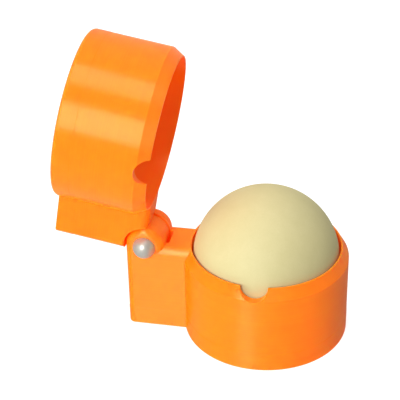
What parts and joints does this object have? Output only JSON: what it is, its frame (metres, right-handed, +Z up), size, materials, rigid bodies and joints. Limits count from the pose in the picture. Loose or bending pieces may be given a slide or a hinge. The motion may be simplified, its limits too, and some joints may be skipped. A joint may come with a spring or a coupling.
{
  "type": "table tennis ball in a hinged holder",
  "caption": "Printed two-shell holder with a riveted hinge, its lid standing open and a table tennis ball resting in the lower cup.",
  "frame": {"origin": "centre of the lower cup's flat bottom, on its axis", "axes": "+Z up along the lower cup's axis; the hinge is on the -X side with its pin along Y; the thumb notches and the rivet's head face -Y"},
  "size_m": [0.0794, 0.045, 0.0837],
  "materials": {
    "printed_plastic": "layer-lined satin",
    "rivet_steel": "polished",
    "washer_steel": "plain",
    "ball_plastic": "matte"
  },
  "bodies": {
    "cup": {"lower_cup": "printed_plastic", "hinge_rivet": "rivet_steel", "rivet_washer": "washer_steel"},
    "lid": {"hinged_lid": "printed_plastic"},
    "ball": {"ball_lower_half": "ball_plastic", "ball_upper_half": "ball_plastic"}
  },
  "joints": [
    {"name": "lid_hinge", "type": "hinge", "parent": "cup", "child": "lid", "pos_m": [-0.03225, 0, 0.0256], "axis": [0, -1, 0], "range_deg": [-80, 5]},
    {"name": "ball_lift", "type": "slide", "parent": "cup", "child": "ball", "axis": [0, 0, 1], "range_m": [0, 0.0075]}
  ]
}
